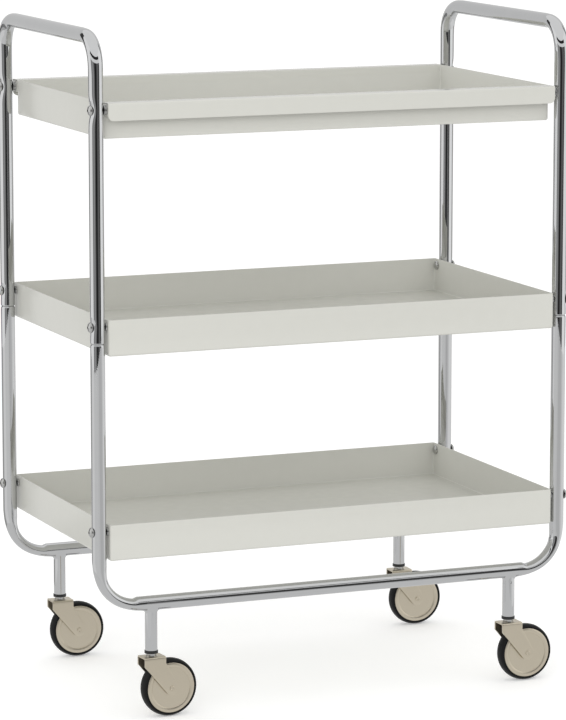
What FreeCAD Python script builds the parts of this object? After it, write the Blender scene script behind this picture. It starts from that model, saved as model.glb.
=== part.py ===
"""Three-tray serving cart on four swivel casters.

Units are millimetres, +Z is up, +X runs along the length of the trays and +Y to the rear.
The origin is on the floor, under the middle of the cart. Each STEP file in parts/ is one
physical piece, or one group of identical fasteners.
"""
import FreeCAD, Part
import math
import os

# ---- frame tubes
TUBE_D = 19.0            # outside diameter of every frame tube
TUBE_WALL = 1.2
POST_X = 324.0           # post centre line, left and right of the middle
POST_Y = 178.0           # post centre line, front and rear of the middle
RAIL_Z = 150.5           # centre line of the two bottom rails
RAIL_BEND_R = 50.0       # centre-line radius where post turns into rail
HANDLE_Z = 877.0         # centre line of the push handles
HANDLE_BEND_R = 38.0
JOINT_Z = 491.0          # where each handle plugs onto the lower frame
SLEEVE_REACH = 45.0      # how far the hidden sleeve goes into each tube
SLEEVE_GAP = 0.1
SLEEVE_WALL = 1.5

# ---- trays
SHEET = 1.2
TRAY_H = 46.5            # rim to underside
TRAY_Y = 187.0           # half depth of every tray over all
TOP_RIM_Z = 795.0
MIDDLE_RIM_Z = 521.0
BOTTOM_RIM_Z = 257.5
CORNER_R = 3.2           # upright corners
FLOOR_R = 3.0            # bend between wall and floor
TOP_WALL_Y = 168.5       # outside of the top tray's long walls, set back under its lips
LIP_H = 22.5             # height of the lips turned down along both long rims
LIP_END_R = 7.0          # rounded lower corners of a lip
TAB_H = 16.0             # end tabs under the rims, which take the top tray's bolts
TAB_R = 6.0

# ---- tray fixings
BOLT_BELOW_RIM = 9.0
BOLT_D = 5.0
BOLT_HOLE_D = 5.12
HEAD_D = 13.6
HEAD_H = 4.3
TOP_SPACER_L = 4.0       # between post and top tray
LOW_WASHER_L = 2.5       # between post and the lower two trays
SPACER_D = 14.0
LOW_WASHER_D = 12.0
NUT_D = 12.6
NUT_H = 4.3
NUT_CHAMFER = 0.6
THREAD_REACH = 2.8       # how far the bolt goes into the nut

# ---- caster legs under the rails
LEG_X = 254.0
LEG_D = 16.0
LEG_WALL = 1.3
LEG_BOTTOM_Z = 88.5
VENT_D = 2.6
VENT_Z = 135.5
BUSH_RIM_H = 3.5
BUSH_RIM_D = 17.6
BUSH_L = 35.0
STEM_D = 8.0
STEM_TOP_Z = 117.0
COLLAR_D = 12.6
COLLAR_H = 2.9
RIVET_D = 12.0
RIVET_H = 3.0

# ---- casters
WHEEL_R = 38.0
WHEEL_TRAIL = 24.0       # axle behind the swivel axis
FORK_W = 24.0
FORK_T = 2.0
FORK_TOP_Z = 81.0
FORK_BACK = 14.0         # from swivel axis to the open edge
FORK_FRONT = 15.5
FORK_BACK_H = 12.0       # height of the cheeks' short upright edge
FORK_FRONT_H = 9.0
FORK_EYE_R = 9.2
FORK_FOLD_R = 2.6
RACE_D = 14.4
RACE_H = 1.0
RUN_GAP = 0.05           # radial running clearance
FACE_GAP = 0.1           # clearance between faces that turn on each other
AXLE_D = 5.0
AXLE_HEAD_D = 6.6
AXLE_HEAD_H = 1.0
BUSHING_D = 9.0
TYRE_HALF_W = 9.0
TYRE_INNER_R = 31.0
TYRE_SHOULDER_R = 33.4
CORE_HALF_W = 7.4
CORE_RIM_R = 27.0
CORE_HUB_R = 10.0
CORE_WEB = 2.5
DISC_R = 33.0
DISC_T = 0.8
DISC_ROLL = 3.2          # width of the rolled rim of a side disc
DISC_FACE = 8.2          # centre plane of the wheel to the disc's flat face
DISC_CREST = 9.2         # and to the crest of its rolled rim

EYE_LOW_ANGLE = 40.0     # a point on the underside of the eye, degrees from straight down

# ---- working values
OVER = 20.0              # how far a cutting tool reaches past the metal it cuts
NEAR = 0.01              # places closer than this are the same place
ALONG = 0.9              # cosine above which an edge runs along a direction
RIM_BAND = 1.0           # edges this close under a rim are left as they are

# Every caster trails towards +X, each turned a little on its swivel as it came to rest.
CASTERS = {
    "front_left": (-LEG_X, -POST_Y, 4.0),
    "front_right": (LEG_X, -POST_Y, 1.0),
    "rear_left": (-LEG_X, POST_Y, 0.0),
    "rear_right": (LEG_X, POST_Y, -2.0),
}
# The plating vent of each leg opens to the front (-1) or to the rear (1).
VENT_SIDES = {"front_left": 1, "front_right": -1, "rear_left": 1, "rear_right": 1}
TRAYS = {"top_tray": TOP_RIM_Z, "middle_tray": MIDDLE_RIM_Z, "bottom_tray": BOTTOM_RIM_Z}

TUBE_R = TUBE_D / 2
X, Y, Z = FreeCAD.Vector(1, 0, 0), FreeCAD.Vector(0, 1, 0), FreeCAD.Vector(0, 0, 1)


def vec(x, y, z):
    return FreeCAD.Vector(x, y, z)


def save(name, solids):
    """Writes one node; several solids make a group."""
    shape = solids[0] if len(solids) == 1 else Part.makeCompound(solids)
    shape.exportStep("parts/" + name + ".step")


def ring(centre, normal, outer_r, inner_r):
    """A flat ring, the cross-section of a tube."""
    outer = Part.Face(Part.Wire(Part.makeCircle(outer_r, centre, normal)))
    inner = Part.Face(Part.Wire(Part.makeCircle(inner_r, centre, normal)))
    return outer.cut(inner).Faces[0]


def pipe(centre, normal, length, outer_d, inner_d):
    return ring(centre, normal, outer_d / 2, inner_d / 2).extrude(normal * length)


def bent_u(foot, inward, up, height, span, radius):
    """A tube bent to a U. It rises `height` from `foot` along `up` to the far leg's line,
    crosses `span` along `inward`, and comes back down the other leg."""
    outer, inner = TUBE_R, TUBE_R - TUBE_WALL
    straight = height - radius
    far_foot = foot + inward * span
    turn = up.cross(inward)
    parts = []
    for start, side in ((foot, 1), (far_foot, -1)):
        section = ring(start, up, outer, inner)
        parts.append(section.extrude(up * straight))
        bend = ring(start + up * straight, up, outer, inner)
        pivot = start + up * straight + inward * (side * radius)
        parts.append(bend.revolve(pivot, turn * side, 90))
    bar = ring(foot + up * height + inward * radius, inward, outer, inner)
    parts.append(bar.extrude(inward * (span - 2 * radius)))
    return parts[0].fuse(parts[1:]).removeSplitter()


def drill_x(shape, points, diameter):
    """Holes along X right through a tube at each point of its centre line."""
    reach = TUBE_R + OVER
    for point in points:
        shape = shape.cut(Part.makeCylinder(diameter / 2, 2 * reach, point - X * reach, X))
    return shape


def bolt_z(rim_z):
    return rim_z - BOLT_BELOW_RIM


def lower_frame(y):
    """One piece of tube: two posts and the rail between them, in an X-Z plane."""
    foot = vec(-POST_X, y, JOINT_Z)
    frame = bent_u(foot, X, -Z, JOINT_Z - RAIL_Z, 2 * POST_X, RAIL_BEND_R)
    z = bolt_z(BOTTOM_RIM_Z)
    return drill_x(frame, [vec(-POST_X, y, z), vec(POST_X, y, z)], BOLT_HOLE_D)


def handle(x):
    """One piece of tube: two upper posts and the push bar between them, in a Y-Z plane."""
    foot = vec(x, -POST_Y, JOINT_Z)
    frame = bent_u(foot, Y, Z, HANDLE_Z - JOINT_Z, 2 * POST_Y, HANDLE_BEND_R)
    points = []
    for y in (-POST_Y, POST_Y):
        for rim_z in (TOP_RIM_Z, MIDDLE_RIM_Z):
            points.append(vec(x, y, bolt_z(rim_z)))
    return drill_x(frame, points, BOLT_HOLE_D)


def joint_sleeve(x, y):
    """Steel sleeve hidden in the post. The middle tray's bolt passes through it."""
    outer_d = TUBE_D - 2 * TUBE_WALL - 2 * SLEEVE_GAP
    foot = vec(x, y, JOINT_Z - SLEEVE_REACH)
    sleeve = pipe(foot, Z, 2 * SLEEVE_REACH, outer_d, outer_d - 2 * SLEEVE_WALL)
    return drill_x(sleeve, [vec(x, y, bolt_z(MIDDLE_RIM_Z))], BOLT_HOLE_D)


def edges_along(shape, direction, below=None):
    """Straight edges that run along a direction, if asked only those under a height."""
    found = []
    for edge in shape.Edges:
        if abs(edge.tangentAt(edge.FirstParameter).dot(direction)) > ALONG:
            if below is None or edge.BoundBox.ZMax < below:
                found.append(edge)
    return found


def rounded_box(half_x, half_y, z0, z1, corner_r, floor_r):
    """A box with rounded upright edges and a rounded edge round its underside."""
    box = Part.makeBox(2 * half_x, 2 * half_y, z1 - z0, vec(-half_x, -half_y, z0))
    box = box.makeFillet(corner_r, edges_along(box, Z))
    under = [e for e in box.Edges if e.BoundBox.ZMax < z0 + NEAR]
    return box.makeFillet(floor_r, under)


def pan_inside(half_x, half_y, rim_z):
    return rounded_box(
        half_x - SHEET, half_y - SHEET, rim_z - TRAY_H + SHEET, rim_z + OVER,
        CORNER_R - SHEET, FLOOR_R - SHEET,
    )


def pan(half_x, half_y, rim_z):
    """An open tray pressed from one sheet."""
    outer = rounded_box(half_x, half_y, rim_z - TRAY_H, rim_z, CORNER_R, FLOOR_R)
    return outer.cut(pan_inside(half_x, half_y, rim_z))


def box_between(x0, x1, y0, y1, z0, z1):
    low = vec(min(x0, x1), min(y0, y1), min(z0, z1))
    return Part.makeBox(abs(x1 - x0), abs(y1 - y0), abs(z1 - z0), low)


def top_lip(half_x, side):
    """One long rim of the top tray: a flange folded outwards, its edge turned down as a lip,
    and at each end a tab that takes a bolt."""
    rim_z = TOP_RIM_Z
    outer_y, wall_y = side * TRAY_Y, side * (TOP_WALL_Y - 2 * CORNER_R)
    flange = box_between(-half_x, half_x, wall_y, outer_y, rim_z - SHEET, rim_z)
    flange = flange.cut(pan_inside(half_x, TOP_WALL_Y, rim_z))
    lip = box_between(-half_x, half_x, outer_y, outer_y - side * SHEET, rim_z - LIP_H, rim_z)
    lip = lip.makeFillet(LIP_END_R, edges_along(lip, Y, rim_z - RIM_BAND))
    tabs = []
    for end in (-1, 1):
        x = end * half_x
        tab_y = side * (TOP_WALL_Y - CORNER_R)
        tab = box_between(x, x - end * SHEET, tab_y, outer_y, rim_z - TAB_H, rim_z)
        outer_edge = [
            e for e in edges_along(tab, X, rim_z - RIM_BAND)
            if abs(e.CenterOfMass.y - outer_y) < NEAR
        ]
        tab = tab.makeFillet(TAB_R, outer_edge)
        tabs.append(tab.cut(pan_inside(half_x, TOP_WALL_Y, rim_z)))
    return [flange, lip] + tabs


def tray_half_x(name):
    gap = TOP_SPACER_L if name == "top_tray" else LOW_WASHER_L
    return POST_X - TUBE_R - gap


def tray(name):
    half_x = tray_half_x(name)
    rim_z = TRAYS[name]
    if name == "top_tray":
        body = pan(half_x, TOP_WALL_Y, rim_z)
        body = body.fuse(top_lip(half_x, -1) + top_lip(half_x, 1)).removeSplitter()
    else:
        body = pan(half_x, TRAY_Y, rim_z)
    reach = half_x + OVER
    for y in (-POST_Y, POST_Y):
        start = vec(-reach, y, bolt_z(rim_z))
        body = body.cut(Part.makeCylinder(BOLT_HOLE_D / 2, 2 * reach, start, X))
    return body


def posts():
    """(y, outward direction along X) of the four posts."""
    return [(y, side) for side in (-1, 1) for y in (-POST_Y, POST_Y)]


def button(diameter, height, chamfer=0.0):
    """A low dome on the Y-Z plane at the origin, its crown towards +X."""
    r, h = diameter / 2, height - chamfer
    sphere_r = (r * r + h * h) / (2 * h)
    half_angle = math.asin(r / sphere_r) / 2
    middle = vec(chamfer + h - sphere_r + sphere_r * math.cos(half_angle),
                 sphere_r * math.sin(half_angle), 0)
    rim, crown = vec(chamfer, r, 0), vec(height, 0, 0)
    edges = [Part.Arc(rim, middle, crown).toShape(), Part.makeLine(crown, vec(0, 0, 0))]
    if chamfer:
        edges.append(Part.makeLine(vec(0, 0, 0), vec(0, r - chamfer, 0)))
        edges.append(Part.makeLine(vec(0, r - chamfer, 0), rim))
    else:
        edges.append(Part.makeLine(vec(0, 0, 0), rim))
    return Part.Face(Part.Wire(edges)).revolve(vec(0, 0, 0), X, 360)


def facing(shape, point, side):
    """Turns a piece made to face +X towards `side` and puts it at a point."""
    if side < 0:
        shape.rotate(vec(0, 0, 0), Z, 180)
    shape.translate(point)
    return shape


def tray_bolt(y, side, z, half_x):
    """Dome-headed bolt through post, spacer and tray wall, head outside."""
    face_x = POST_X + TUBE_R
    reach = face_x - half_x + SHEET + THREAD_REACH
    shank = Part.makeCylinder(BOLT_D / 2, reach, vec(-reach, 0, 0), X)
    bolt = button(HEAD_D, HEAD_H).fuse(shank)
    return facing(bolt, vec(side * face_x, y, z), side)


def cap_nut(y, side, z, half_x):
    """Domed nut against the inside of the tray wall."""
    bore = Part.makeCylinder(BOLT_D / 2, THREAD_REACH, vec(0, 0, 0), X)
    nut = button(NUT_D, NUT_H, NUT_CHAMFER).cut(bore)
    return facing(nut, vec(side * (half_x - SHEET), y, z), -side)


def spacer(y, side, z, length, diameter):
    start = vec(side * (POST_X - TUBE_R), y, z)
    return pipe(start, X * -side, length, diameter, BOLT_HOLE_D)


def leg(x, y, vent_side):
    """Short tube welded under a rail; its top is cut to the rail's round."""
    foot = vec(x, y, LEG_BOTTOM_Z)
    tube = pipe(foot, Z, RAIL_Z - LEG_BOTTOM_Z, LEG_D, LEG_D - 2 * LEG_WALL)
    rail = Part.makeCylinder(TUBE_R, LEG_D + 2 * OVER, vec(x - LEG_D / 2 - OVER, y, RAIL_Z), X)
    vent = Part.makeCylinder(VENT_D / 2, LEG_D, vec(x, y, VENT_Z), Y * vent_side)
    return tube.cut(rail).cut(vent)


def leg_bush(x, y):
    """Plastic bush that holds the caster stem in the leg."""
    foot = vec(x, y, LEG_BOTTOM_Z - BUSH_RIM_H)
    rim = Part.makeCylinder(BUSH_RIM_D / 2, BUSH_RIM_H, foot)
    plug = Part.makeCylinder(LEG_D / 2 - LEG_WALL, BUSH_RIM_H + BUSH_L, foot)
    bore = Part.makeCylinder(STEM_D / 2, BUSH_RIM_H + BUSH_L, foot)
    return rim.fuse(plug).removeSplitter().cut(bore)


def stem(x, y):
    """Pin pressed into the bush. Its collar bears on the fork, its head is riveted below."""
    collar_z = LEG_BOTTOM_Z - BUSH_RIM_H - COLLAR_H
    rivet_z = FORK_TOP_Z - FORK_T - FACE_GAP - RIVET_H
    pin = Part.makeCylinder(STEM_D / 2, STEM_TOP_Z - rivet_z, vec(x, y, rivet_z))
    collar = Part.makeCylinder(COLLAR_D / 2, COLLAR_H, vec(x, y, collar_z))
    rivet = Part.makeCylinder(RIVET_D / 2, RIVET_H, vec(x, y, rivet_z))
    return pin.fuse([collar, rivet]).removeSplitter()


def cheek_outline():
    """Side view of a fork cheek: short upright edges, then two edges that run down to the
    round eye at the axle and touch it."""
    eye = vec(WHEEL_TRAIL, 0, WHEEL_R)
    back_low = vec(-FORK_BACK, 0, FORK_TOP_Z - FORK_BACK_H)
    front_low = vec(FORK_FRONT, 0, FORK_TOP_Z - FORK_FRONT_H)
    back_touch = tangent_point(back_low, eye, FORK_EYE_R, 1)
    front_touch = tangent_point(front_low, eye, FORK_EYE_R, -1)
    angle = math.radians(EYE_LOW_ANGLE)
    low = eye + vec(FORK_EYE_R * math.sin(angle), 0, -FORK_EYE_R * math.cos(angle))
    edges = [
        Part.makeLine(vec(-FORK_BACK, 0, FORK_TOP_Z), back_low),
        Part.makeLine(back_low, back_touch),
        Part.Arc(back_touch, low, front_touch).toShape(),
        Part.makeLine(front_touch, front_low),
        Part.makeLine(front_low, vec(FORK_FRONT, 0, FORK_TOP_Z)),
        Part.makeLine(vec(FORK_FRONT, 0, FORK_TOP_Z), vec(-FORK_BACK, 0, FORK_TOP_Z)),
    ]
    return Part.Face(Part.Wire(edges))


def tangent_point(point, centre, radius, side):
    """Where a line from `point` touches the circle, on the chosen side, in the X-Z plane."""
    dx, dz = point.x - centre.x, point.z - centre.z
    distance = math.hypot(dx, dz)
    angle = math.atan2(dz, dx) + side * math.acos(radius / distance)
    return vec(centre.x + radius * math.cos(angle), 0, centre.z + radius * math.sin(angle))


def fork():
    """Folded steel fork, open at both ends, in its own frame: swivel axis on Z."""
    half = FORK_W / 2
    cheek = cheek_outline().extrude(Y * FORK_W)
    cheek.translate(Y * -half)
    top_edges = [
        e for e in cheek.Edges
        if abs(e.tangentAt(e.FirstParameter).x) > ALONG and e.BoundBox.ZMin > FORK_TOP_Z - NEAR
    ]
    block = cheek.makeFillet(FORK_FOLD_R, top_edges)
    under_top = FORK_TOP_Z - FORK_T
    slot = box_between(
        -FORK_BACK - OVER, WHEEL_TRAIL + FORK_EYE_R + OVER,
        -half + FORK_T, half - FORK_T, -OVER, under_top,
    )
    slot_edges = [
        e for e in slot.Edges
        if abs(e.tangentAt(e.FirstParameter).x) > ALONG and e.BoundBox.ZMin > under_top - NEAR
    ]
    slot = slot.makeFillet(FORK_FOLD_R - FORK_T, slot_edges)
    hole = Part.makeCylinder(STEM_D / 2 + RUN_GAP, 2 * OVER, vec(0, 0, FORK_TOP_Z - OVER))
    eye = Part.makeCylinder(AXLE_D / 2, 2 * FORK_W, vec(WHEEL_TRAIL, -FORK_W, WHEEL_R), Y)
    return block.cut(slot).cut(hole).cut(eye)


def swivel_race():
    """Bearing ring on top of the fork, under the stem's collar."""
    return pipe(vec(0, 0, FORK_TOP_Z), Z, RACE_H, RACE_D, STEM_D + 2 * RUN_GAP)


def turned(profile):
    """A solid of revolution about the axle from (radius, offset) points; a point given as a
    triple (radius, offset, "arc") is the middle of an arc between its neighbours."""
    base = [vec(WHEEL_TRAIL + p[0], p[1], WHEEL_R) for p in profile]
    edges = []
    i = 0
    count = len(profile)
    while i < count:
        after = (i + 1) % count
        if len(profile[after]) == 3:
            last = (i + 2) % count
            edges.append(Part.Arc(base[i], base[after], base[last]).toShape())
            i += 2
        else:
            edges.append(Part.makeLine(base[i], base[after]))
            i += 1
    face = Part.Face(Part.Wire(edges))
    return face.revolve(vec(WHEEL_TRAIL, 0, WHEEL_R), Y, 360)


def axle():
    """Rivet through both cheeks, with a flat round head each side."""
    half = FORK_W / 2
    pin = Part.makeCylinder(AXLE_D / 2, FORK_W, vec(WHEEL_TRAIL, -half, WHEEL_R), Y)
    heads = []
    for side in (-1, 1):
        base = vec(WHEEL_TRAIL, side * half, WHEEL_R)
        heads.append(Part.makeCylinder(AXLE_HEAD_D / 2, AXLE_HEAD_H, base, Y * side))
    return pin.fuse(heads).removeSplitter()


def wheel_bushing():
    half = FORK_W / 2 - FORK_T - 2 * FACE_GAP
    r = AXLE_D / 2 + RUN_GAP
    return turned([(r, -half), (BUSHING_D / 2, -half), (BUSHING_D / 2, half), (r, half)])


def wheel_core():
    """Moulded centre of the wheel: hub, web and rim."""
    bore, w = BUSHING_D / 2, CORE_HALF_W
    half = [(CORE_HUB_R, w), (CORE_HUB_R, CORE_WEB), (CORE_RIM_R, CORE_WEB), (CORE_RIM_R, w)]
    upper = [(bore, w)] + half + [(TYRE_INNER_R, w)]
    lower = [(r, -y) for r, y in reversed(upper)]
    return turned(upper + lower)


def tyre():
    """Rubber tyre with a round tread and a step each side for the disc's rim."""
    w, step = TYRE_HALF_W, CORE_HALF_W
    return turned([
        (TYRE_INNER_R, -step), (TYRE_SHOULDER_R, -step), (TYRE_SHOULDER_R, -w),
        (WHEEL_R, 0, "arc"),
        (TYRE_SHOULDER_R, w), (TYRE_SHOULDER_R, step), (TYRE_INNER_R, step),
    ])


def side_disc(side):
    """Pressed metal disc with a rolled rim that covers the joint of core and tyre."""
    hole = BUSHING_D / 2
    root = DISC_R - 2 * DISC_ROLL
    outer = [(hole, DISC_FACE), (root, DISC_FACE), (DISC_R - DISC_ROLL, DISC_CREST, "arc"),
             (DISC_R, DISC_FACE)]
    edge = [(DISC_R, DISC_FACE - DISC_T)]
    inner = [(DISC_R - DISC_ROLL, DISC_CREST - DISC_T, "arc"), (root, DISC_FACE - DISC_T),
             (hole, DISC_FACE - DISC_T)]
    profile = outer + edge + inner
    return turned([(p[0], side * p[1]) + tuple(p[2:]) for p in profile])


def place(shape, x, y, angle):
    """Turns a caster piece on its swivel axis and moves it under its leg."""
    shape.rotate(vec(0, 0, 0), Z, angle)
    shape.translate(vec(x, y, 0))
    return shape


def main():
    os.makedirs("parts", exist_ok=True)
    save("front_lower_frame", [lower_frame(-POST_Y)])
    save("rear_lower_frame", [lower_frame(POST_Y)])
    save("left_handle", [handle(-POST_X)])
    save("right_handle", [handle(POST_X)])
    save("joint_sleeves", [joint_sleeve(side * POST_X, y) for y, side in posts()])

    for name, rim_z in TRAYS.items():
        half_x, z = tray_half_x(name), bolt_z(rim_z)
        save(name, [tray(name)])
        save(name + "_bolts", [tray_bolt(y, side, z, half_x) for y, side in posts()])
        save(name + "_cap_nuts", [cap_nut(y, side, z, half_x) for y, side in posts()])
        length, diameter = LOW_WASHER_L, LOW_WASHER_D
        if name == "top_tray":
            length, diameter = TOP_SPACER_L, SPACER_D
        save(name + "_spacers",
             [spacer(y, side, z, length, diameter) for y, side in posts()])

    for corner, (x, y, angle) in CASTERS.items():
        save(corner + "_leg", [leg(x, y, VENT_SIDES[corner])])
        save(corner + "_leg_bush", [leg_bush(x, y)])
        save(corner + "_stem", [stem(x, y)])
        for piece, shapes in (
            ("swivel_race", [swivel_race()]),
            ("fork", [fork()]),
            ("axle", [axle()]),
            ("wheel_bushing", [wheel_bushing()]),
            ("wheel_core", [wheel_core()]),
            ("side_discs", [side_disc(-1), side_disc(1)]),
            ("tyre", [tyre()]),
        ):
            save(corner + "_" + piece, [place(s, x, y, angle) for s in shapes])


main()
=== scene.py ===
"""Serving cart: three pressed trays between bent tube frames, on four swivel casters.

Metres. +Z is up, +X runs along the trays, +Y to the rear, and the origin is on the floor under
the middle of the cart.
"""
import math

import bpy
import numpy as np
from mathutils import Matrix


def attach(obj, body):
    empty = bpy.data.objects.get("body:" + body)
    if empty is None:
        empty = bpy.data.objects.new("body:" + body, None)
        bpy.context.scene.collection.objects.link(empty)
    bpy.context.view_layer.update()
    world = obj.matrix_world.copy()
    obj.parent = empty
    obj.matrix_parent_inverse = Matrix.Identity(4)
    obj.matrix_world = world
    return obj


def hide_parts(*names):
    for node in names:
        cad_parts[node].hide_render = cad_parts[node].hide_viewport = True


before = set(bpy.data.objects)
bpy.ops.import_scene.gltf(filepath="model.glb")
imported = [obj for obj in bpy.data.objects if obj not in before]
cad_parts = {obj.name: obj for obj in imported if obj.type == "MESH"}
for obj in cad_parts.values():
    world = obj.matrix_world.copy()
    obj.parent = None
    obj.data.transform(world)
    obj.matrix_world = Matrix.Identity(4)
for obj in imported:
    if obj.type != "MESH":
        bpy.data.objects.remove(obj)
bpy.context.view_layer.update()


# ---------------------------------------------------------------- lower frames
# Two lengths of 19 mm steel tube, front and rear, each bent to a U round a former and then
# chrome plated. They carry the lower tray and the caster legs, and their tops are sockets.

TUBE_R = 0.00947
POST_X, POST_Y = 0.324, 0.178
RAIL_Z, JOINT_Z = 0.1505, 0.491
RAIL_BEND_R = 0.05
RAIL_FLAT = (0.0026, 0.0022, 0.07)   # bend drawn in outside, pressed in inside, share wider
SHOULDER_H = 0.0036      # rounded top of the lower tube
SHOULDER_IN = 0.0026
DRAWN_OVER = ((0.014, 0.030), (0.014, 0.030))     # lead and ramp, at post end and bar end
PRESSED_OVER = ((0.004, 0.030), (0.002, 0.008))
CHROME = (0.60, 0.605, 0.61)


def finish(name, colour, metallic, rough, spread, grain, peel=0.0, drift=0.02):
    """A finish that varies over a piece. Roughness is rough to rough + spread by a noise of
    `grain` waves a metre; the colour drifts by a share `drift`; `peel` is the height in metres
    of a fine unevenness."""
    material = bpy.data.materials.new(name)
    material.use_nodes = True
    nodes, links = material.node_tree.nodes, material.node_tree.links
    shader = nodes["Principled BSDF"]
    shader.inputs["Metallic"].default_value = metallic
    place = nodes.new("ShaderNodeTexCoord")
    cloud = nodes.new("ShaderNodeTexNoise")
    cloud.inputs["Scale"].default_value = grain
    cloud.inputs["Detail"].default_value = 4.0
    links.new(place.outputs["Object"], cloud.inputs["Vector"])
    rub = nodes.new("ShaderNodeMapRange")
    rub.inputs["From Min"].default_value = 0.35
    rub.inputs["From Max"].default_value = 0.65
    rub.inputs["To Min"].default_value = rough
    rub.inputs["To Max"].default_value = rough + spread
    links.new(cloud.outputs[0], rub.inputs["Value"])
    links.new(rub.outputs[0], shader.inputs["Roughness"])
    ramp = nodes.new("ShaderNodeValToRGB")
    ramp.color_ramp.elements[0].position = 0.3
    ramp.color_ramp.elements[1].position = 0.7
    ramp.color_ramp.elements[0].color = tuple(c * (1 - drift) for c in colour) + (1,)
    ramp.color_ramp.elements[1].color = tuple(c * (1 + drift) for c in colour) + (1,)
    links.new(cloud.outputs[0], ramp.inputs["Fac"])
    links.new(ramp.outputs["Color"], shader.inputs["Base Color"])
    if peel:
        skin_noise = nodes.new("ShaderNodeTexNoise")
        skin_noise.inputs["Scale"].default_value = grain * 12
        skin_noise.inputs["Detail"].default_value = 1.0
        links.new(place.outputs["Object"], skin_noise.inputs["Vector"])
        bump = nodes.new("ShaderNodeBump")
        bump.inputs["Strength"].default_value = 1.0
        bump.inputs["Distance"].default_value = peel
        links.new(skin_noise.outputs[0], bump.inputs["Height"])
        links.new(bump.outputs["Normal"], shader.inputs["Normal"])
    return material


def skin(name, stacks, material, loop=False, crease=40):
    """One mesh over stacks of rings, each an array (ring, point, xyz). Ring i is joined to ring
    i + 1 by four-sided faces; then the first and last rings are filled, or with `loop` joined
    to each other. A stack that comes out with a negative volume is turned outwards."""
    points, faces, first = [], [], 0
    for rings in stacks:
        count, around = rings.shape[:2]
        index = np.arange(count * around).reshape(count, around)
        lower = index if loop else index[:-1]
        upper = np.roll(index, -1, 0) if loop else index[1:]
        quads = np.stack([lower, np.roll(lower, -1, 1), np.roll(upper, -1, 1), upper], -1)
        quads = quads.reshape(-1, 4)
        p = rings.reshape(-1, 3)
        a, b, c, d = (p[quads[:, k]] for k in range(4))
        volume = (a * np.cross(b, c)).sum() + (a * np.cross(c, d)).sum()
        ends = [] if loop else [index[0][::-1], index[-1]]
        for end in ends:
            rim = p[end]
            middle = rim.mean(0)
            volume += (middle * np.cross(rim, np.roll(rim, -1, 0))).sum()
        turn = -1 if volume < 0 else 1
        faces += (quads[:, ::turn] + first).tolist()
        faces += [(end[::turn] + first).tolist() for end in ends]
        points.append(p)
        first += len(p)
    mesh = bpy.data.meshes.new(name)
    mesh.from_pydata(np.concatenate(points).tolist(), [], faces)
    mesh.shade_smooth()
    mesh.set_sharp_from_angle(angle=math.radians(crease))
    mesh.materials.append(material)
    piece = bpy.data.objects.new(name, mesh)
    bpy.context.scene.collection.objects.link(piece)
    return piece


def ease(t):
    """0 to 1 as t goes 0 to 1, level at both ends: 3t^2 - 2t^3."""
    t = np.clip(t, 0, 1)
    return t * t * (3 - 2 * t)


def lip_round(d, length, depth):
    """How far an end is drawn in at a distance d from it: a quarter ellipse."""
    t = np.clip(1 - d / length, 0, 1)
    return depth * (1 - np.sqrt(1 - t * t))


def bent_tube(foot, inward, up, height, span, radius, dents, squeeze, round_l, round_in):
    """Rings of a tube bent to a U. Its centre line climbs along `up`, turns a quarter circle,
    crosses along `inward`, turns again and comes back. Round it, a point at angle phi from the
    outside of the bend is r(cos phi, sin phi). `squeeze` is how far a bend is drawn in outside,
    gently, how far its inside is pressed in by the former, abruptly, and how much wider it is.
    Each dent (distance, angle, depth, half length) pushes in by depth * exp(-(ds/half)^2)."""
    foot, inward, up = np.array(foot), np.array(inward, float), np.array(up, float)
    straight, quarter, bar = height - radius, radius * math.pi / 2, span - 2 * radius
    marks = np.cumsum([straight, quarter, bar, quarter, straight])
    total = marks[4]
    runs = [np.arange(0, total, 0.008), np.linspace(0, 0.012, 28), [total]]
    runs.append(total - np.linspace(0, 0.012, 28))
    for start in (marks[0], marks[2]):
        runs.append(np.linspace(start - 0.018, start + quarter + 0.018, 120))
    for place, _, _, half in dents:
        runs.append(place + np.linspace(-2.2 * half, 2.2 * half, 41))
    s = np.unique(np.concatenate(runs).round(6))
    first, second = (np.clip((s - m) / radius, 0, math.pi / 2) for m in (marks[0], marks[2]))
    across = radius * (1 - np.cos(first)) + np.clip(s - marks[1], 0, bar) + radius * np.sin(second)
    rise = np.clip(s, 0, straight) + radius * np.sin(first)
    rise -= radius * (1 - np.cos(second)) + np.clip(s - marks[3], 0, straight)
    turned_by = first + second
    drawn, pressed = (sum(
        ease((s - start + lead_a) / ramp_a) * ease((start + quarter + lead_b - s) / ramp_b)
        for start, (lead_a, ramp_a), (lead_b, ramp_b) in (
            (marks[0], post_end, bar_end), (marks[2], bar_end, post_end),
        )
    )[:, None] for post_end, bar_end in (DRAWN_OVER, PRESSED_OVER))
    phi = np.linspace(0, 2 * math.pi, 72, endpoint=False)[None, :]
    from_end = np.minimum(s, total - s)[:, None]
    r = TUBE_R - lip_round(from_end, round_l, round_in)
    draw_in, press_in, wider = squeeze
    out = r * np.cos(phi) - drawn * draw_in * np.clip(np.cos(phi), 0, 1)
    out += pressed * press_in * np.clip(-np.cos(phi), 0, 1)
    side = r * np.sin(phi) * (1 + drawn * wider)
    for place, angle, depth, half in dents:
        push = depth * np.exp(-(((s - place) / half) ** 2))[:, None]
        push = push * np.clip(np.cos(phi - angle), 0, 1) ** 1.5
        out -= push * math.cos(angle)
        side -= push * math.sin(angle)
    normal = -np.cos(turned_by)[:, None] * inward + np.sin(turned_by)[:, None] * up
    centre = foot + across[:, None] * inward + rise[:, None] * up
    sideways = np.cross(inward, up)
    return centre[:, None] + out[..., None] * normal[:, None] + side[..., None] * sideways


chrome = finish("chrome plate", CHROME, 1.0, 0.014, 0.02, 55, drift=0.01)

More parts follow.
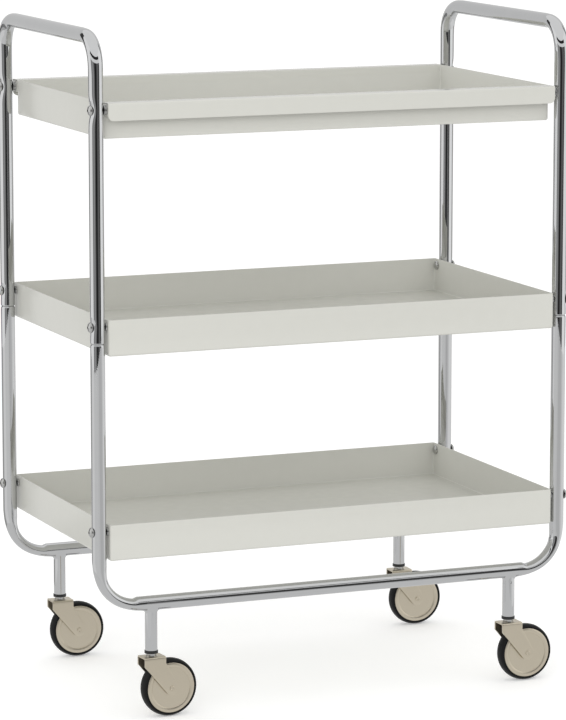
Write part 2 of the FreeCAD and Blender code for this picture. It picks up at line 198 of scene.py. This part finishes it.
for name, y in (("front_lower_frame", -POST_Y), ("rear_lower_frame", POST_Y)):
    tube = skin(name + "_tube", [bent_tube(
        (-POST_X, y, JOINT_Z), (1, 0, 0), (0, 0, -1), JOINT_Z - RAIL_Z, 2 * POST_X,
        RAIL_BEND_R, [], RAIL_FLAT, SHOULDER_H, SHOULDER_IN,
    )], chrome)
    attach(tube, "frame")
    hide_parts(name)


# ---------------------------------------------------------------- push handles
# Two more lengths of the same tube, one at each end of the cart. Each plugs down into the
# lower frames over hidden sleeves. The bolts of the upper two trays pinch the tube a little.

HANDLE_Z = 0.877
HANDLE_BEND_R = 0.038
HANDLE_FLAT = (0.0012, 0.0006, 0.03)
PLUG_ROUND_L, PLUG_ROUND_IN = 0.0012, 0.001
TRAY_RIMS = {"top_tray": 0.795, "middle_tray": 0.521, "bottom_tray": 0.2575}
BOLT_BELOW_RIM = 0.009
PINCH = {"top_tray": (0.0030, 0.011), "middle_tray": (0.0007, 0.009)}

for name, x, outside in (
    ("left_handle", -POST_X, -math.pi / 2), ("right_handle", POST_X, math.pi / 2),
):
    reach = HANDLE_Z - JOINT_Z
    length = 2 * (reach - HANDLE_BEND_R) + math.pi * HANDLE_BEND_R + 2 * (POST_Y - HANDLE_BEND_R)
    pinches = []
    for tray_name, (depth, half) in PINCH.items():
        rise = TRAY_RIMS[tray_name] - BOLT_BELOW_RIM - JOINT_Z
        pinches += [(rise, outside, depth, half), (length - rise, outside, depth, half)]
    tube = skin(name + "_tube", [bent_tube(
        (x, -POST_Y, JOINT_Z), (0, 1, 0), (0, 0, 1), reach, 2 * POST_Y, HANDLE_BEND_R,
        pinches, HANDLE_FLAT, PLUG_ROUND_L, PLUG_ROUND_IN,
    )], chrome)
    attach(tube, "frame")
    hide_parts(name)

sleeve_steel = finish("bare steel", (0.42, 0.42, 0.42), 1.0, 0.3, 0.2, 120)
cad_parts["joint_sleeves"].material_slots[0].material = sleeve_steel


# ---------------------------------------------------------------- trays
# Three pans folded and welded from 1.2 mm steel sheet, with tight bends, then powder coated in
# a warm light grey. The long rims of the top pan fold outwards and down as a lip.

SHEET = 0.0012
TRAY_H = 0.0465
TRAY_Y = 0.187
CORNER_R, FLOOR_R = 0.0032, 0.003
RIM_ROUND = 0.0003
FLOOR_EDGE, FLOOR_MIDDLE = 0.008, 0.06      # rings of the floor, in from the wall
POST_GAP = {"top_tray": 0.004, "middle_tray": 0.0025, "bottom_tray": 0.0025}
TOP_WALL_Y = 0.1685
LIP_H, LIP_END_R, LIP_BEND_R = 0.0225, 0.007, 0.0016
LIP_ROOT_H, LIP_GAP = 0.010, 0.00003
TAB_H, TAB_R = 0.016, 0.006
PAINT = (0.645, 0.643, 0.600)


def arc(centre, radius, start, end, count):
    """Points on a circle from one angle to another, in degrees."""
    t = np.radians(np.linspace(start, end, count))
    return np.stack([centre[0] + radius * np.cos(t), centre[1] + radius * np.sin(t)], -1)


def pan(half_x, half_y, rim_z):
    """Rings of an open pan. The profile, as (distance in from the wall's outer face, height),
    goes out along the underside, up the wall, over the rim, down inside and in over the floor.
    Each of its points is carried round a rectangle with rounded corners."""
    z0 = rim_z - TRAY_H
    bend = (FLOOR_R, z0 + FLOOR_R)
    profile = np.concatenate([
        [(FLOOR_MIDDLE, z0), (FLOOR_EDGE, z0)],
        arc(bend, FLOOR_R, 270, 180, 9),
        arc((RIM_ROUND, rim_z - RIM_ROUND), RIM_ROUND, 180, 90, 4),
        arc((SHEET - RIM_ROUND, rim_z - RIM_ROUND), RIM_ROUND, 90, 0, 4),
        arc(bend, FLOOR_R - SHEET, 180, 270, 7),
        [(FLOOR_EDGE, z0 + SHEET), (FLOOR_MIDDLE, z0 + SHEET)],
    ])
    inset, z = profile[:, 0][:, None], profile[:, 1][:, None]
    r = np.maximum(CORNER_R - inset, 0.0002)
    quarter = np.concatenate([np.radians(np.linspace(90 * k, 90 * k + 90, 9)) for k in range(4)])
    corner_x = np.repeat([1, -1, -1, 1], 9)
    corner_y = np.repeat([1, 1, -1, -1], 9)
    x = corner_x * (half_x - inset - r) + r * np.cos(quarter)
    y = corner_y * (half_y - inset - r) + r * np.sin(quarter)
    return np.stack([x, y, np.broadcast_to(z, x.shape)], -1)


def folded_lip(half_x, side, rim_z):
    """Rings of the strip along a long rim. Its middle line rises beside the wall, bends out
    level and bends down; half the sheet goes to each side of it. Near its ends the lower edge
    rises along a quarter circle."""
    half = SHEET / 2
    inner, outer, top = TOP_WALL_Y - half - LIP_GAP, TRAY_Y - half, rim_z - half
    b = LIP_BEND_R
    middle = np.concatenate([
        [(inner, rim_z - LIP_ROOT_H)],
        arc((inner + b, top - b), b, 180, 90, 7),
        arc((outer - b, top - b), b, 90, 0, 9),
        [(outer, rim_z - LIP_H)],
    ])
    along = np.gradient(middle, axis=0)
    along /= np.linalg.norm(along, axis=1)[:, None]
    off = np.stack([-along[:, 1], along[:, 0]], -1) * half
    outline = np.concatenate([middle + off, (middle - off)[::-1]])
    ends = LIP_END_R * (1 - np.cos(np.linspace(0, math.pi / 2, 14)))
    x = np.concatenate([ends - half_x, np.linspace(-half_x + 0.02, half_x - 0.02, 24),
                        (half_x - ends)[::-1]])
    from_end = np.clip(half_x - np.abs(x), 0, LIP_END_R)
    low = rim_z - LIP_H + LIP_END_R - np.sqrt(LIP_END_R**2 - (LIP_END_R - from_end) ** 2)
    y = np.broadcast_to(side * outline[:, 0], (len(x), len(outline)))
    z = np.maximum(outline[:, 1][None, :], low[:, None])
    return np.stack([np.broadcast_to(x[:, None], y.shape), y, z], -1)


def end_tab(half_x, end, side, rim_z):
    """Rings of the small plate that closes the lip's channel: its outline in the Y-Z plane,
    carried through the sheet's thickness."""
    y0, y1, top = TOP_WALL_Y - 0.0005, TRAY_Y - SHEET * 0.6, rim_z - SHEET * 0.6
    low = rim_z - TAB_H
    outline = np.concatenate([
        [(y0, top), (y0, low)], arc((y1 - TAB_R, low + TAB_R), TAB_R, 270, 360, 10), [(y1, top)],
    ])
    x = end * (half_x - np.array([SHEET, 0.0]))
    y = np.broadcast_to(side * outline[:, 0], (2, len(outline)))
    z = np.broadcast_to(outline[:, 1], (2, len(outline)))
    return np.stack([np.broadcast_to(x[:, None], y.shape), y, z], -1)


paint = finish("powder coat", PAINT, 0.0, 0.17, 0.04, 70, peel=0.000004, drift=0.006)
paint.node_tree.nodes["Principled BSDF"].inputs["Specular IOR Level"].default_value = 0.5

for name, rim_z in TRAY_RIMS.items():
    half_x = POST_X - TUBE_R - POST_GAP[name]
    if name == "top_tray":
        stacks = [pan(half_x, TOP_WALL_Y, rim_z)]
        for side in (-1, 1):
            stacks.append(folded_lip(half_x, side, rim_z))
            stacks += [end_tab(half_x, end, side, rim_z) for end in (-1, 1)]
    else:
        stacks = [pan(half_x, TRAY_Y, rim_z)]
    tray = skin(name + "_pan", stacks, paint, crease=60)
    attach(tray, "frame")
    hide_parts(name)


# ---------------------------------------------------------------- tray bolts
# Twelve plated M5 bolts with low domed heads, one at each post for each tray. Each goes through
# post, spacer and tray end, and is closed inside by a domed nut.

HEAD_R, HEAD_H, HEAD_EDGE = 0.0068, 0.0043, 0.0005
NUT_R, NUT_H, NUT_EDGE = 0.0063, 0.0043, 0.0007
KEY_HALF, KEY_DEPTH = 0.0015, 0.0016
KEY_RIM = 1.35           # the crown stops at this many times the socket's half width
WASHER_BORE_R, WASHER_DIP = 0.00256, 0.0008
WASHERS = {"top_tray": (0.0069, 2), "middle_tray": (0.0059, 1), "bottom_tray": (0.0059, 1)}
HEAD_SUNK = {"top_tray": 0.0028, "middle_tray": 0.0006, "bottom_tray": 0.0}


def domed(base, towards, radius, height, edge, key=0.0):
    """Rings of a button about an X axis: a short upright edge, a small round, then the crown
    r = radius cos t, h = edge + (height - edge) sin t. `key` is half the width across the flats
    of a hexagon socket, whose outline is r = key / cos(phi mod 60 - 30 degrees)."""
    last = math.acos(KEY_RIM * key / radius) if key else math.pi / 2 - 0.02
    t = np.linspace(0, last, 18)
    crown = np.stack([radius * np.cos(t), edge + (height - edge) * np.sin(t)], -1)
    profile = np.concatenate([[(radius * 0.96, -0.0003), (radius * 0.985, 0.0)], crown])
    phi = np.linspace(0, 2 * math.pi, 48, endpoint=False)
    r, h = profile[:, 0][:, None] + 0 * phi, profile[:, 1][:, None] + 0 * phi
    if key:
        sixth = math.pi / 3
        hexagon = key / np.cos(np.mod(phi, sixth) - sixth / 2)
        r = np.concatenate([r, hexagon[None], 0.97 * hexagon[None]])
        h = np.concatenate([h, h[-1:] + 0.0001, h[-1:] - KEY_DEPTH])
    x = base[0] + towards * h
    y = base[1] + r * np.cos(phi)
    z = base[2] + r * np.sin(phi)
    return np.stack([x, y, z], -1)


def washer_stack(base, towards, length, radius, lobes):
    """Rings of rounded washers pressed together about an X axis. The outside bulges once for
    each washer, r = radius - dip (1 - |sin(lobes pi t)|), and a plain bore closes the loop."""
    t = np.linspace(0, 1, 12 * lobes + 1)
    bulge = radius - WASHER_DIP * (1 - np.abs(np.sin(lobes * math.pi * t)))
    r = np.concatenate([bulge, [WASHER_BORE_R, WASHER_BORE_R]])[:, None]
    along = np.concatenate([t, [1, 0]])[:, None] * length
    phi = np.linspace(0, 2 * math.pi, 48, endpoint=False)
    x = base[0] + towards * along + 0 * phi
    return np.stack([x, base[1] + r * np.cos(phi), base[2] + r * np.sin(phi)], -1)


bright_plate = finish("bright plate", (0.50, 0.50, 0.49), 1.0, 0.09, 0.04, 160, drift=0.015)

for name, rim_z in TRAY_RIMS.items():
    z = rim_z - BOLT_BELOW_RIM
    inside = POST_X - TUBE_R - POST_GAP[name] - SHEET
    places = [(end, y) for end in (-1, 1) for y in (-POST_Y, POST_Y)]
    heads = skin(name + "_bolt_heads", [
        domed((end * (POST_X + TUBE_R - HEAD_SUNK[name]), y, z), end, HEAD_R, HEAD_H, HEAD_EDGE,
              KEY_HALF)
        for end, y in places
    ], bright_plate)
    washer_r, lobes = WASHERS[name]
    washers = skin(name + "_washers", [
        washer_stack((end * (POST_X - TUBE_R), y, z), -end, POST_GAP[name], washer_r, lobes)
        for end, y in places
    ], bright_plate, loop=True)
    nuts = skin(name + "_domed_nuts", [
        domed((end * inside, y, z), -end, NUT_R, NUT_H, NUT_EDGE) for end, y in places
    ], bright_plate)
    for piece, node in ((heads, name + "_bolts"), (nuts, name + "_cap_nuts"),
                        (washers, name + "_spacers")):
        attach(piece, "frame")
        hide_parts(node)


# ---------------------------------------------------------------- caster legs
# Four short 16 mm tubes, saddle cut and welded under the rails before plating. A black plastic
# bush in each foot grips the caster's stem, whose collar shows as a bright ring.

LEG_X = 0.254
LEG_R = 0.008
LEG_WALL, LEG_FOOT_Z = 0.0013, 0.0885
FLARE_LONG, FLARE_SIDE, FLARE_H = 0.0038, 0.0012, 0.0038
VENT_Z, VENT_R, VENT_DEEP, VENT_EDGE = 0.1355, 0.0013, 0.0011, 0.0005
FOOT_ROUND, SADDLE_LAP = 0.0004, 0.0002
VENT_SIDES = {"front_left": 1, "front_right": -1, "rear_left": 1, "rear_right": 1}
CORNERS = {
    "front_left": (-LEG_X, -POST_Y, 4.0), "front_right": (LEG_X, -POST_Y, 1.0),
    "rear_left": (-LEG_X, POST_Y, 0.0), "rear_right": (LEG_X, POST_Y, -2.0),
}


def welded_leg(x, y, vent_side):
    """Rings of a leg. Inside it rises from the foot; outside it comes down from the rail through
    the weld's smooth flare, r = leg_r + f(1 - sin u), z = saddle - h(1 - cos u), with f widest
    along the rail. The plating vent sinks its skin by VENT_DEEP where the distance from the
    vent's middle is under VENT_R."""
    t = np.linspace(0, 2 * math.pi, 160, endpoint=False)[None, :]
    u = np.linspace(0, math.pi / 2, 9)[:, None]
    flare = FLARE_SIDE + (FLARE_LONG - FLARE_SIDE) * np.cos(t) ** 2
    r = LEG_R + flare * (1 - np.sin(u))
    z = RAIL_Z - np.sqrt(TUBE_R**2 - (r * np.sin(t)) ** 2) - FLARE_H * (1 - np.cos(u))
    near_vent = VENT_Z - np.linspace(-0.0025, 0.0025, 21)
    down = np.concatenate([[near_vent[0] + 0.0004], near_vent, np.linspace(0.131, 0.0895, 12)])
    down = np.concatenate([down, [LEG_FOOT_Z + FOOT_ROUND, LEG_FOOT_Z]])[:, None] + 0 * t
    wall = np.full_like(down, LEG_R)
    wall[-1] -= FOOT_ROUND
    off = t - math.copysign(math.pi / 2, vent_side) % (2 * math.pi)
    apart = np.hypot(LEG_R * off, down - VENT_Z)
    wall -= VENT_DEEP * ease((VENT_R - apart) / VENT_EDGE + 0.5)
    bore = np.full_like(t, LEG_R - LEG_WALL)
    bore_top = RAIL_Z - np.sqrt(TUBE_R**2 - (bore * np.sin(t)) ** 2) + SADDLE_LAP
    r = np.concatenate([r, wall, bore, bore, r[:1]])
    z = np.concatenate([z, down, down[-1:], bore_top, z[:1] + SADDLE_LAP])
    return np.stack([x + r * np.cos(t), y + r * np.sin(t), z], -1)


black_plastic = finish("black moulding", (0.012, 0.012, 0.012), 0.0, 0.38, 0.15, 400)

for corner, (x, y, _) in CORNERS.items():
    leg = skin(corner + "_welded_leg", [welded_leg(x, y, VENT_SIDES[corner])], chrome,
               loop=True)
    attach(leg, "frame")
    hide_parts(corner + "_leg")
    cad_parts[corner + "_leg_bush"].material_slots[0].material = black_plastic
    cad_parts[corner + "_stem"].material_slots[0].material = bright_plate


# ---------------------------------------------------------------- caster forks
# Each fork is blanked from 2 mm steel, folded to an upside-down U and satin nickel plated. It
# turns on the stem under a bearing ring, and carries the wheel 24 mm behind on a riveted axle.

TRAIL, AXLE_Z = 0.024, 0.038
FORK_T, FORK_HALF = 0.002, 0.012
FORK_TOP, FORK_FOLD_R = 0.081, 0.0026
FORK_BACK, FORK_FRONT = -0.014, 0.0155
BACK_LOW, FRONT_LOW = 0.069, 0.072
EYE_R = 0.0092
FORK_EDGE_R = 0.0004
NICKEL = (0.64, 0.578, 0.462)


def touch(x, z, side):
    """Where a line from (x, z) touches the circle of the eye, on one side."""
    dx, dz = x - TRAIL, z - AXLE_Z
    angle = math.atan2(dz, dx) + side * math.acos(EYE_R / math.hypot(dx, dz))
    return TRAIL + EYE_R * math.cos(angle), AXLE_Z + EYE_R * math.sin(angle)


def cheek_edges(x):
    """Heights of a cheek's lower and upper edge over x: a straight line to the eye, then the
    eye's circle. Above, the edge is level with the fold until the front."""
    bow = np.sqrt(np.clip(EYE_R**2 - (x - TRAIL) ** 2, 0, None))
    bx, bz = touch(FORK_BACK, BACK_LOW, 1)
    fx, fz = touch(FORK_FRONT, FRONT_LOW, -1)
    low = np.where(x < bx, BACK_LOW + (x - FORK_BACK) * (bz - BACK_LOW) / (bx - FORK_BACK),
                   AXLE_Z - bow)
    high = np.where(x < fx, FRONT_LOW + (x - FORK_FRONT) * (fz - FRONT_LOW) / (fx - FORK_FRONT),
                    AXLE_Z + bow)
    return low, high


def swung(points, corner):
    """Points of a caster piece, turned on the swivel and moved under their leg."""
    x, y, angle = CORNERS[corner]
    c, s = math.cos(math.radians(angle)), math.sin(math.radians(angle))
    turn = np.array([[c, s, 0], [-s, c, 0], [0, 0, 1]])
    return points @ turn + np.array([x, y, 0])


def fork_sheet():
    """The folded plate's middle surface, as grids (column along x, point across the fold, xyz):
    one over the whole fold, and one for each cheek ahead of it."""
    half, top, fold = FORK_HALF - FORK_T / 2, FORK_TOP - FORK_T / 2, FORK_FOLD_R - FORK_T / 2
    x = np.linspace(FORK_BACK, FORK_FRONT, 25)[:, None]
    low, _ = cheek_edges(x)
    up = np.linspace(0, 1, 7)[None, :]
    lower = low + (FRONT_LOW - low) * up
    upper = FRONT_LOW + (top - fold - FRONT_LOW) * np.linspace(0, 1, 4)[None, 1:]
    bend = arc((half - fold, top - fold), fold, 0, 90, 7)[1:]
    flat_y = np.linspace(half - fold, 0, 5)[1:]
    side_y = np.concatenate([np.full(10, half), bend[:, 0], flat_y])
    side_z = np.concatenate([
        lower, np.broadcast_to(upper, (25, 3)), np.broadcast_to(bend[:, 1], (25, 6)),
        np.full((25, 4), top),
    ], 1)
    y = np.concatenate([side_y, -side_y[-2::-1]])
    z = np.concatenate([side_z, side_z[:, -2::-1]], 1)
    fold_grid = np.stack([np.broadcast_to(x, z.shape), np.broadcast_to(y, z.shape), z], -1)
    tip = TRAIL + EYE_R
    ahead = tip - (tip - FORK_FRONT) * np.linspace(1, 0, 26)[:, None] ** 2
    low, high = cheek_edges(ahead)
    z = low + (high - low) * up
    grids = [fold_grid]
    for side in (-1, 1):
        grids.append(np.stack([np.broadcast_to(ahead, z.shape), np.full(z.shape, side * half),
                               z[:, ::side]], -1))
    return grids


def sheet_piece(name, grids, material):
    """One mesh of four-sided faces over grids of points that share edges."""
    points, faces, first = [], [], 0
    for grid in grids:
        rows, columns = grid.shape[:2]
        index = np.arange(rows * columns).reshape(rows, columns) + first
        faces += np.stack([index[:-1, :-1], index[1:, :-1], index[1:, 1:], index[:-1, 1:]],
                          -1).reshape(-1, 4).tolist()
        points.append(grid.reshape(-1, 3))
        first += rows * columns
    points = np.concatenate(points)
    _, keep, same = np.unique(points.round(7), axis=0, return_index=True, return_inverse=True)
    same = same.ravel()
    faces = [list(dict.fromkeys(same[face].tolist())) for face in faces]
    mesh = bpy.data.meshes.new(name)
    mesh.from_pydata(points[keep].tolist(), [], [f for f in faces if len(f) > 2])
    mesh.shade_smooth()
    mesh.materials.append(material)
    piece = bpy.data.objects.new(name, mesh)
    bpy.context.scene.collection.objects.link(piece)
    return piece


def turned(profile, count=96):
    """Rings of a piece turned about the axle, from (radius, offset) points."""
    profile = np.array(profile)
    t = np.linspace(0, 2 * math.pi, count, endpoint=False)
    x = TRAIL + profile[:, 0][:, None] * np.cos(t)
    z = AXLE_Z + profile[:, 0][:, None] * np.sin(t)
    return np.stack([x, np.broadcast_to(profile[:, 1][:, None], x.shape), z], -1)


def rivet_head(side):
    """A round head with a dimple in its middle, turned about the axle."""
    face = FORK_HALF
    profile = [(0.0033, face - 0.0002), (0.0033, face + 0.0004), (0.0030, face + 0.0008),
               (0.0025, face + 0.00095), (0.0020, face + 0.0008), (0.0016, face + 0.0003),
               (0.0003, face + 0.0002)]
    return turned([(r, side * y) for r, y in profile], 40)


nickel = finish("satin nickel", NICKEL, 1.0, 0.28, 0.04, 90, drift=0.01)

for corner in CORNERS:
    body = corner + "_caster"
    grids = [swung(grid, corner) for grid in fork_sheet()]
    fork = sheet_piece(corner + "_folded_fork", grids, nickel)
    wall = fork.modifiers.new("wall", "SOLIDIFY")
    wall.thickness = FORK_T
    wall.offset = 0.0
    soft_edge = fork.modifiers.new("soft edge", "BEVEL")
    soft_edge.width = FORK_EDGE_R
    soft_edge.segments = 2
    soft_edge.limit_method = "ANGLE"
    soft_edge.angle_limit = math.radians(50)
    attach(fork, body)
    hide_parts(corner + "_fork")
    rivet = skin(corner + "_axle_rivet", [
        swung(rivet_head(side), corner) for side in (-1, 1)
    ], nickel)
    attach(rivet, body)
    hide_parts(corner + "_axle")
    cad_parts[corner + "_swivel_race"].material_slots[0].material = bright_plate


# ---------------------------------------------------------------- wheels
# A moulded centre in a black rubber tyre with a round tread. A thin disc of satin nickel plated
# steel with a rolled rim is pressed over each side.

WHEEL_R = 0.03799
TYRE_HALF_W, TYRE_INNER_R, TYRE_STEP_R = 0.009, 0.031, 0.0334
CORE_HALF_W = 0.0074
DISC_R, DISC_T, DISC_HOLE_R = 0.033, 0.0008, 0.0045
DISC_FACE, ROLL_H, ROLL_W = 0.0082, 0.0010, 0.0032
PART_LINE_H, PART_LINE_W = 0.00012, 0.0003
TREAD_STEP, ROLL_GAP = 0.0004, 0.0006


def tyre_profile():
    """Round tread y = half sin t, r = inner + depth (cos t)^0.9, with a faint moulding line
    round its middle, and a step each side under the disc's rim."""
    t = np.linspace(-math.pi / 2, math.pi / 2, 45)
    y = TYRE_HALF_W * np.sin(t)
    r = TYRE_STEP_R + TREAD_STEP + (WHEEL_R - TYRE_STEP_R - TREAD_STEP) * np.cos(t) ** 0.9
    r = r - PART_LINE_H + PART_LINE_H * np.exp(-((y / PART_LINE_W) ** 2))
    tread = np.stack([r, y], -1)
    inner = [(TYRE_STEP_R, CORE_HALF_W), (TYRE_INNER_R, CORE_HALF_W),
             (TYRE_INNER_R, -CORE_HALF_W), (TYRE_STEP_R, -CORE_HALF_W)]
    return np.concatenate([tread, inner])


def disc_profile(side):
    """A flat face that runs out to a rolled rim h = ROLL_H sin t, and back inside a sheet's
    thickness lower."""
    t = np.linspace(0, math.pi, 15)
    roll = np.stack([DISC_R - ROLL_W - ROLL_W * np.cos(t), DISC_FACE + ROLL_H * np.sin(t)], -1)
    under = roll[::-1] - np.array([0, DISC_T])
    flat_r = DISC_R - 2 * ROLL_W - ROLL_GAP
    profile = np.concatenate([
        [(DISC_HOLE_R, DISC_FACE), (flat_r, DISC_FACE)], roll,
        under, [(flat_r, DISC_FACE - DISC_T), (DISC_HOLE_R, DISC_FACE - DISC_T)],
    ])
    return profile * np.array([1, side])


rubber = finish("black rubber", (0.005, 0.005, 0.005), 0.0, 0.42, 0.12, 180, peel=0.00001)
rubber.node_tree.nodes["Principled BSDF"].inputs["Specular IOR Level"].default_value = 0.18

for corner in CORNERS:
    body = corner + "_wheel"
    tyre = skin(corner + "_rubber_tyre", [swung(turned(tyre_profile()), corner)], rubber,
                loop=True)
    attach(tyre, body)
    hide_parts(corner + "_tyre")
    discs = skin(corner + "_wheel_discs", [
        swung(turned(disc_profile(side)), corner) for side in (-1, 1)
    ], nickel, loop=True)
    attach(discs, body)
    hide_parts(corner + "_side_discs")
    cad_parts[corner + "_wheel_core"].material_slots[0].material = black_plastic
    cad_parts[corner + "_wheel_bushing"].material_slots[0].material = sleeve_steel


# ---------------------------------------------------------------- floor and studio
# A wide white floor under an even white sky, and one soft box near the camera. Walls, floor
# sectors and a ceiling of different greys stand round the cart and show only in the metal.

VIEW_AZIMUTH, VIEW_ELEVATION = -22.484, 9.259
VIEW_TARGET = (0.002772, 0.0, 0.42303)
VIEW_DISTANCE = 5.200706
VIEW_LENS = 194.456
WALL_R, WALL_H = 3.1, 3.2
WALL_BAND = 1.65         # top of the strips of different greys on the camera's side
FLOOR_HALF, FLOOR_WHITE, FLOOR_GLOW = 40, 0.88, 0.26
NEAR_R, SHEEN_Z = 0.75, 0.001
NEAR_OUT_R, NEAR_IN_R, NEAR_Z = 0.76, 0.0005, 0.0012
NEAR_GREY, CEILING_GREY, SKY_LIGHT = 0.75, 0.95, 0.92
BEARING_STEP = 4         # degrees

floor_mesh = bpy.data.meshes.new("floor")
floor_mesh.from_pydata([
    (-FLOOR_HALF, -FLOOR_HALF, 0), (FLOOR_HALF, -FLOOR_HALF, 0),
    (FLOOR_HALF, FLOOR_HALF, 0), (-FLOOR_HALF, FLOOR_HALF, 0),
], [], [(0, 1, 2, 3)])
floor = bpy.data.objects.new("floor", floor_mesh)
bpy.context.scene.collection.objects.link(floor)
pale_floor = finish("pale floor", (FLOOR_WHITE,) * 3, 0.0, 0.8, 0.1, 2)
floor_shader = pale_floor.node_tree.nodes["Principled BSDF"]
floor_shader.inputs["Emission Color"].default_value = (1, 1, 1, 1)
floor_shader.inputs["Emission Strength"].default_value = FLOOR_GLOW
floor_mesh.materials.append(pale_floor)
floor.visible_diffuse = False


def glow(name, points, faces, grey):
    """A surface seen only in reflections, as bright as `grey`."""
    mesh = bpy.data.meshes.new(name)
    mesh.from_pydata(points, [], faces)
    material = bpy.data.materials.new(name)
    material.use_nodes = True
    shader = material.node_tree.nodes["Principled BSDF"]
    shader.inputs["Base Color"].default_value = (0, 0, 0, 1)
    shader.inputs["Specular IOR Level"].default_value = 0.0
    shader.inputs["Emission Color"].default_value = (1, 1, 1, 1)
    shader.inputs["Emission Strength"].default_value = grey
    mesh.materials.append(material)
    panel = bpy.data.objects.new(name, mesh)
    bpy.context.scene.collection.objects.link(panel)
    for kind in ("camera", "diffuse", "shadow", "transmission", "volume_scatter"):
        setattr(panel, "visible_" + kind, False)


def bearings(start, end):
    """Directions over the floor from one angle off the camera's side to another, in degrees,
    a step apart or less."""
    count = math.ceil((end - start) / BEARING_STEP) + 1
    t = np.radians(np.linspace(start, end, count) + VIEW_AZIMUTH)
    return np.stack([np.sin(t), -np.cos(t), 0 * t], -1)


def strip(name, first, second, grey):
    """A glowing strip between two rows of points."""
    count = len(first)
    faces = [(k, k + 1, count + k + 1, count + k) for k in range(count - 1)]
    glow(name, np.concatenate([first, second]).tolist(), faces, grey)


def studio_wall(name, start, end, grey, low, high):
    """A standing strip round the cart, between two angles and two heights."""
    foot = bearings(start, end) * WALL_R
    strip(name, foot + np.array([0, 0, low]), foot + np.array([0, 0, high]), grey)


def floor_sheen(name, start, end, grey, near, far, height):
    """A flat sector of the floor as the metal sees it, between two angles and two radii."""
    ring, lift = bearings(start, end), np.array([0, 0, height])
    strip(name, ring * near + lift, ring * far + lift, grey)


for number, (start, end, grey, top) in enumerate((
    (-54, -38, 0.28, WALL_BAND), (-38, -20, 0.36, WALL_BAND), (-20, -7, 0.12, WALL_BAND),
    (-7, 7, 0.004, WALL_BAND), (7, 21, 0.07, WALL_BAND), (21, 38, 0.17, WALL_BAND),
    (38, 56, 0.07, WALL_BAND), (56, 112, 1.08, WALL_H), (112, 130, 0.30, WALL_H),
    (130, 234, 0.72, WALL_H), (234, 250, 0.06, WALL_H), (250, 306, 1.05, WALL_H),
)):
    studio_wall("studio_wall_%d" % number, start, end, grey, 0.002, top)
for number, (grey, low, high) in enumerate((
    (0.90, WALL_BAND, 2.2), (0.03, 2.2, 2.75), (0.95, 2.75, WALL_H),
)):
    studio_wall("high_wall_%d" % number, -54, 56, grey, low, high)
for number, (start, end, grey) in enumerate((
    (-10, 10, 0.74), (10, 56, 0.64), (56, 75, 0.78), (75, 125, 0.95), (125, 150, 0.80),
    (150, 236, 0.72), (236, 250, 0.26), (250, 265, 0.55), (265, 303, 0.90), (303, 350, 0.78),
)):
    floor_sheen("floor_sheen_%d" % number, start, end, grey, NEAR_R, WALL_R, SHEEN_Z)
floor_sheen("near_floor_sheen", 0, 360, NEAR_GREY, NEAR_IN_R, NEAR_OUT_R, NEAR_Z)
glow("ceiling", [(-WALL_R, -WALL_R, WALL_H), (WALL_R, -WALL_R, WALL_H),
                 (WALL_R, WALL_R, WALL_H), (-WALL_R, WALL_R, WALL_H)], [(0, 1, 2, 3)],
     CEILING_GREY)

world = bpy.data.worlds.new("studio")
bpy.context.scene.world = world
world.use_nodes = True
world.node_tree.nodes["Background"].inputs["Color"].default_value = (1.0, 1.0, 0.99, 1)
world.node_tree.nodes["Background"].inputs["Strength"].default_value = SKY_LIGHT


def soft_box(name, angle, elevation, distance, size, power):
    """An area light that looks at the middle of the cart."""
    a, e = math.radians(angle + VIEW_AZIMUTH), math.radians(elevation)
    back = np.array([math.sin(a) * math.cos(e), -math.cos(a) * math.cos(e), math.sin(e)])
    light = bpy.data.lights.new(name, "AREA")
    light.shape = "RECTANGLE"
    light.size, light.size_y = size
    light.energy = power
    lamp = bpy.data.objects.new(name, light)
    lamp.location = np.array([0, 0, 0.45]) + back * distance
    lamp.rotation_euler = (math.radians(90) - e, 0, a)
    bpy.context.scene.collection.objects.link(lamp)
    lamp.visible_camera = False


soft_box("key", -8, 20, 4.2, (2.8, 1.4), 33)


# ---------------------------------------------------------------- camera
# It stands well back on the cart's front left side and looks down a little.

camera_data = bpy.data.cameras.new("camera")
camera_data.sensor_width = 36.0
camera_data.lens = VIEW_LENS
camera_data.clip_end = 200.0
camera = bpy.data.objects.new("camera", camera_data)
bpy.context.scene.collection.objects.link(camera)
azimuth, elevation = math.radians(VIEW_AZIMUTH), math.radians(VIEW_ELEVATION)
back = np.array([math.sin(azimuth) * math.cos(elevation),
                 -math.cos(azimuth) * math.cos(elevation), math.sin(elevation)])
camera.location = np.array(VIEW_TARGET) + back * VIEW_DISTANCE
camera.rotation_euler = (math.radians(90) - elevation, 0, azimuth)
bpy.context.scene.camera = camera
bpy.context.scene.view_settings.view_transform = "Standard"
